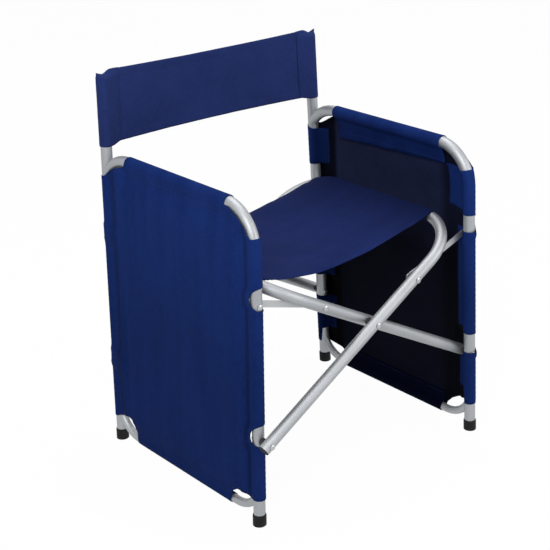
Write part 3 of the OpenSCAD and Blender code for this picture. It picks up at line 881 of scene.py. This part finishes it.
for name, side in SIDES.items():
    place, length = back_sleeve(side)
    sleeve = grid_piece(
        name + "_back_sleeve", SLEEVE_COLUMNS, SLEEVE_ROWS,
        lambda i, j: place(length * i / (SLEEVE_COLUMNS - 1),
                           j / (SLEEVE_ROWS - 1)),
        lambda i, j: (length * i / (SLEEVE_COLUMNS - 1) * 0.001,
                      BACK_HEIGHT * j / (SLEEVE_ROWS - 1) * 0.001),
        [back_weave, coated_sling, back_weave], name + "_side", flip=side < 0)
    lines = [[(2.2, 4), (2.2, 138)], [(length - 2.2, 4), (length - 2.2, 138)],
             [(4, 5), (length - 4, 5)]]
    sewing = stitch_mesh(
        name + "_back_sleeve_stitching",
        [(lambda s, h: place(s, h / BACK_HEIGHT), line, side) for line in lines],
        name + "_side")


def back_at(u, v):
    """The backrest's middle: u from 0 at the left seam to 1 at the right one,
    v from 0 to 1 up."""
    z = mix(BACK_LOW + 4, BACK_TOP + 1.5, v)
    a = upright_place(-1, BACK_SEAM - 5, 0, z)
    b = upright_place(1, BACK_SEAM - 5, 0, z)
    p = a.lerp(b, u)
    middle = 4 * u * (1 - u)
    edge_pull = 1 - abs(2 * v - 1)
    p.y += 0.001 * (4.0 * middle * (0.6 + 0.4 * edge_pull)
                    + 1.8 * wave(u * 6, v * 1.5, 41) * middle
                    + 0.8 * wave(u * 17, v * 2, 43) * middle)
    p.z += 0.001 * (1 - 2 * v) * 3.0 * middle
    # the hems at the top and the bottom stand out a little
    hem = 0.45 * smooth((abs(2 * v - 1) - 0.80) * 60)
    p.y -= 0.001 * hem
    return p


back = grid_piece(
    "back_cloth", BACK_COLUMNS, BACK_ROWS,
    lambda i, j: back_at(i / (BACK_COLUMNS - 1), j / (BACK_ROWS - 1)),
    lambda i, j: (BACK_WIDTH * i / (BACK_COLUMNS - 1) * 0.001,
                  BACK_HEIGHT * j / (BACK_ROWS - 1) * 0.001),
    [back_weave], thickness=1.6)
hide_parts("back_sling")
hem_rows = [(lambda u, v: back_at(u / BACK_WIDTH, v / BACK_HEIGHT),
             [(12, v), (BACK_WIDTH - 12, v)], 1) for v in (13, 129)]
back_sewing = stitch_mesh("back_stitching", hem_rows)
for piece in (back, back_sewing):
    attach(piece, "left_side")
    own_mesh(piece)


# ---- Floor, light and camera ------------------------------------------------

def background_mix(tree, lit, white, share):
    """lit, but share of the way to plain white for the rays that show it."""
    path = node(tree, "LightPath")
    seen = math_node(tree, "MAXIMUM", path.outputs["Is Camera Ray"],
                     path.outputs["Is Glossy Ray"])
    seen = math_node(tree, "MAXIMUM", seen, path.outputs["Is Transmission Ray"])
    fac = math_node(tree, "MULTIPLY", seen, share)
    return node(tree, "MixShader", {0: fac, 1: lit, 2: white}).outputs[0]


floor_mesh = bpy.data.meshes.new("floor")
floor_mesh.from_pydata([(-8, -8, 0), (8, -8, 0), (8, 8, 0), (-8, 8, 0)], [],
                       [(0, 1, 2, 3)])
floor = bpy.data.objects.new("floor", floor_mesh)
bpy.context.scene.collection.objects.link(floor)
floor_mat = bpy.data.materials.new("pale_floor")
floor_mat.use_nodes = True
tree = floor_mat.node_tree
tree.nodes.clear()
lit = node(tree, "BsdfDiffuse", {"Color": (0.90, 0.90, 0.90, 1)}).outputs[0]
white = node(tree, "Emission", {"Color": (1, 1, 1, 1), "Strength": 1.0}).outputs[0]
output = node(tree, "OutputMaterial")
tree.links.new(background_mix(tree, lit, white, 0.97), output.inputs["Surface"])
floor_mesh.materials.append(floor_mat)

world = bpy.data.worlds.new("studio")
world.use_nodes = True
tree = world.node_tree
tree.nodes.clear()
ambient = node(tree, "Background", {"Color": (0.93, 0.96, 1.0, 1),
                                    "Strength": 0.42}).outputs[0]
white = node(tree, "Background", {"Color": (1, 1, 1, 1), "Strength": 1.0}).outputs[0]
output = node(tree, "OutputWorld")
tree.links.new(background_mix(tree, ambient, white, 1.0), output.inputs["Surface"])
bpy.context.scene.world = world


def area_light(name, place, target, size, power):
    data = bpy.data.lights.new(name, "AREA")
    data.shape = "DISK"
    data.size = size
    data.energy = power
    lamp = bpy.data.objects.new(name, data)
    bpy.context.scene.collection.objects.link(lamp)
    lamp.location = place
    aim = Vector(target) - Vector(place)
    lamp.rotation_euler = aim.to_track_quat("-Z", "Y").to_euler()


area_light("key", (-2.6, -2.2, 3.0), (0, 0, 0.35), 1.8, 95)
area_light("fill", (1.8, -3.0, 1.6), (0, 0, 0.35), 2.2, 40)
area_light("top", (0.3, 0.6, 3.4), (0, 0, 0.3), 2.4, 45)

camera_data = bpy.data.cameras.new("camera")
camera_data.sensor_width = 36
camera_data.lens = 88.21
camera_data.shift_x = -0.0407
camera_data.shift_y = -0.0459
camera = bpy.data.objects.new("camera", camera_data)
bpy.context.scene.collection.objects.link(camera)
azimuth, elevation, roll = (math.radians(a) for a in (-40.46, 21.90, -1.80))
forward = Vector((-math.sin(azimuth) * math.cos(elevation),
                  math.cos(azimuth) * math.cos(elevation),
                  -math.sin(elevation)))
turn = forward.to_track_quat("-Z", "Y").to_matrix() @ Matrix.Rotation(
    roll, 3, "Z")
camera.matrix_world = Matrix.Translation((-1.5474, -1.8362, 1.3646)) @ turn.to_4x4()
bpy.context.scene.camera = camera
bpy.context.scene.view_settings.view_transform = "Standard"
